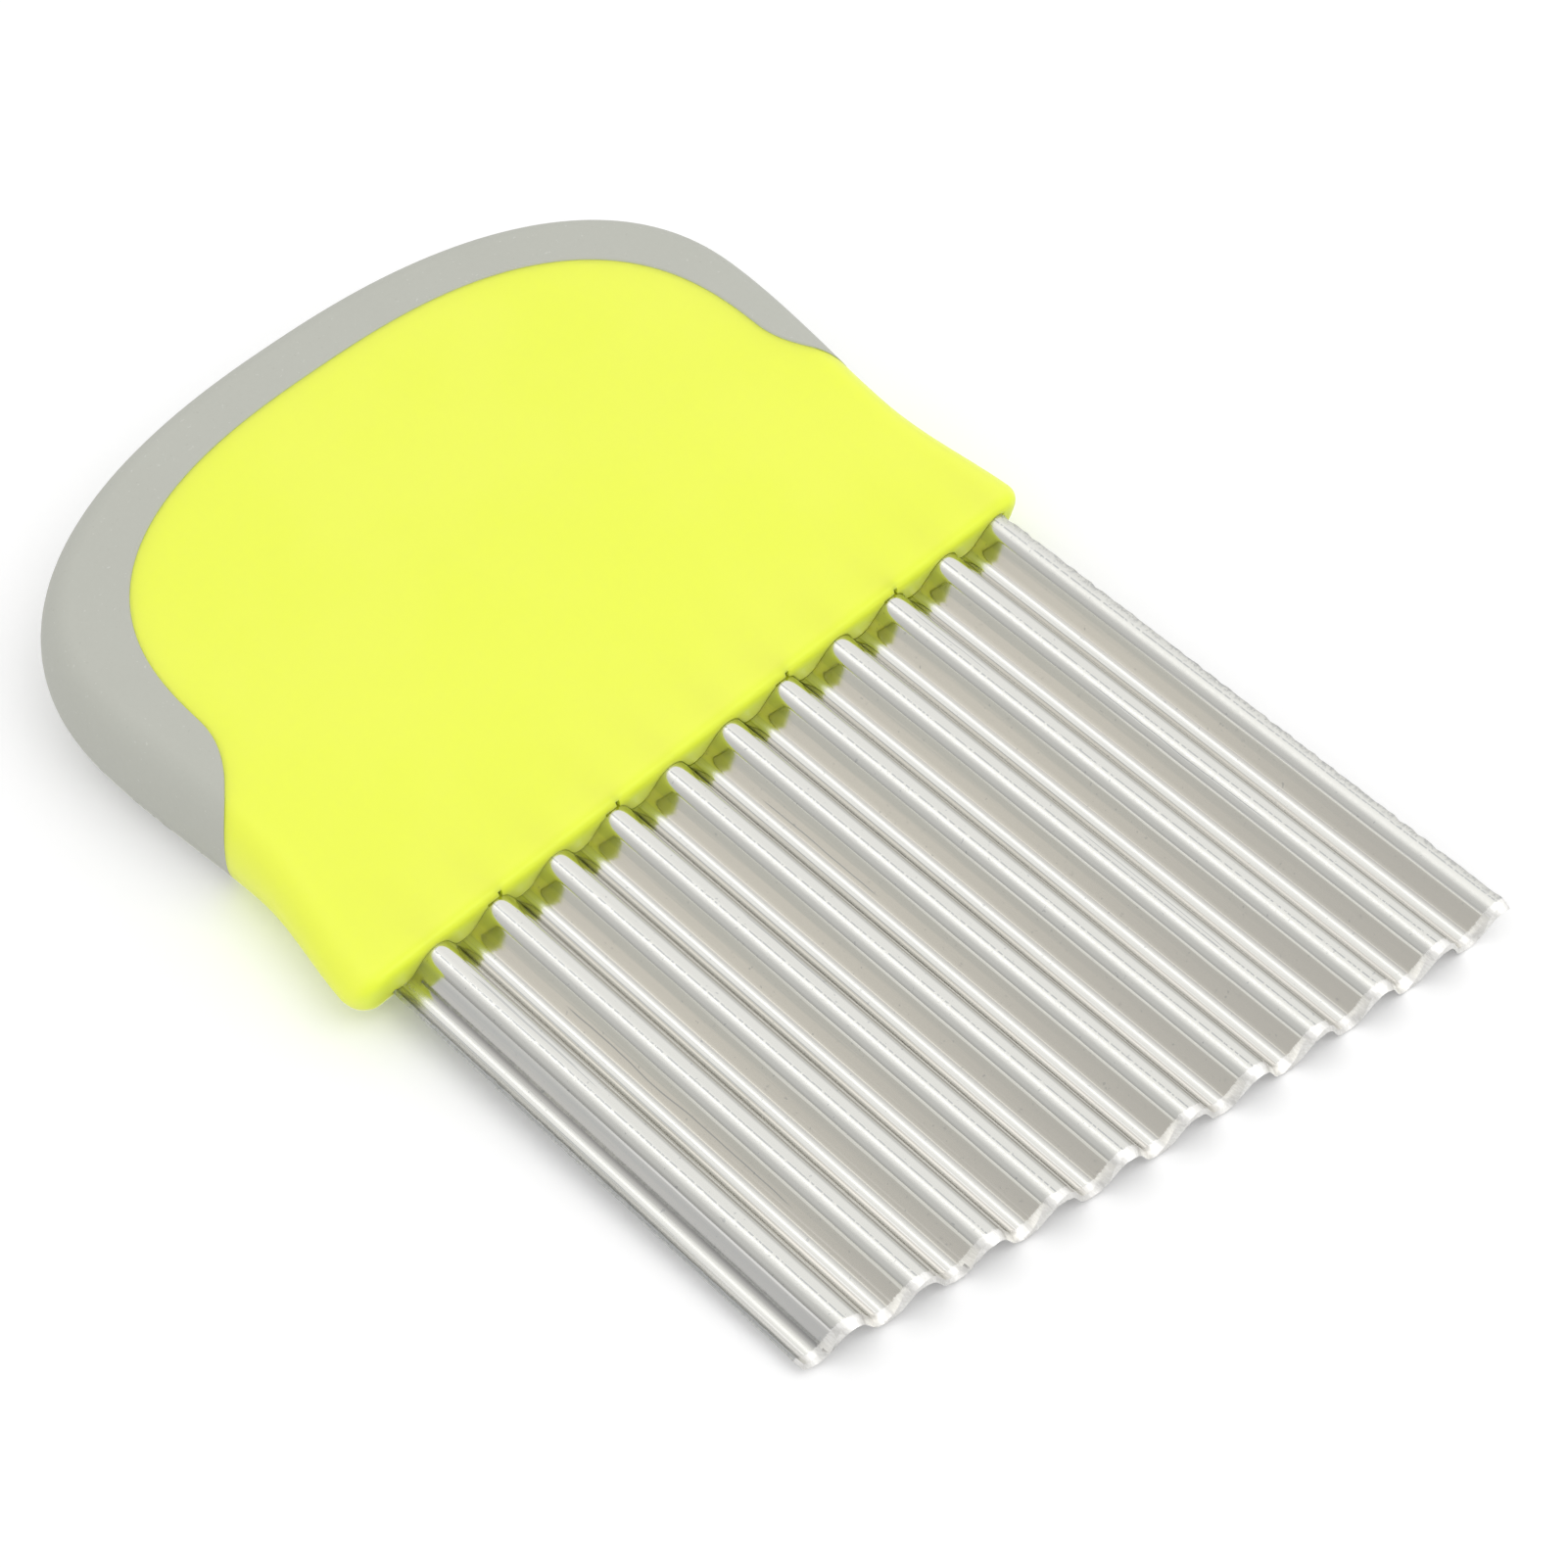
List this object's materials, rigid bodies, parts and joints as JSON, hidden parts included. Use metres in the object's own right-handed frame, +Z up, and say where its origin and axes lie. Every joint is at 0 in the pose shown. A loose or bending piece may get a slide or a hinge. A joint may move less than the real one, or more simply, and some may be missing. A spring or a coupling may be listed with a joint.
{
  "type": "crinkle cutter",
  "caption": "Hand cutter with a wide corrugated steel blade moulded into a flat waisted plastic handle that has a soft grip band round its back, for cutting wavy slices.",
  "frame": {"origin": "under the middle of the whole cutter, at the level of the handle's flat underside", "axes": "+X along the blade's width, +Y from the cutting edge to the back of the handle, +Z up out of the handle's top face"},
  "size_m": [0.101, 0.1528, 0.014],
  "materials": {
    "blade_steel": "satin rolled stainless sheet",
    "lime_plastic": "semi-gloss moulded plastic",
    "grey_grip": "matte soft-touch rubber"
  },
  "bodies": {
    "root": {"corrugated_blade": "blade_steel", "handle_body": "lime_plastic", "soft_grip": "grey_grip"}
  },
  "joints": []
}
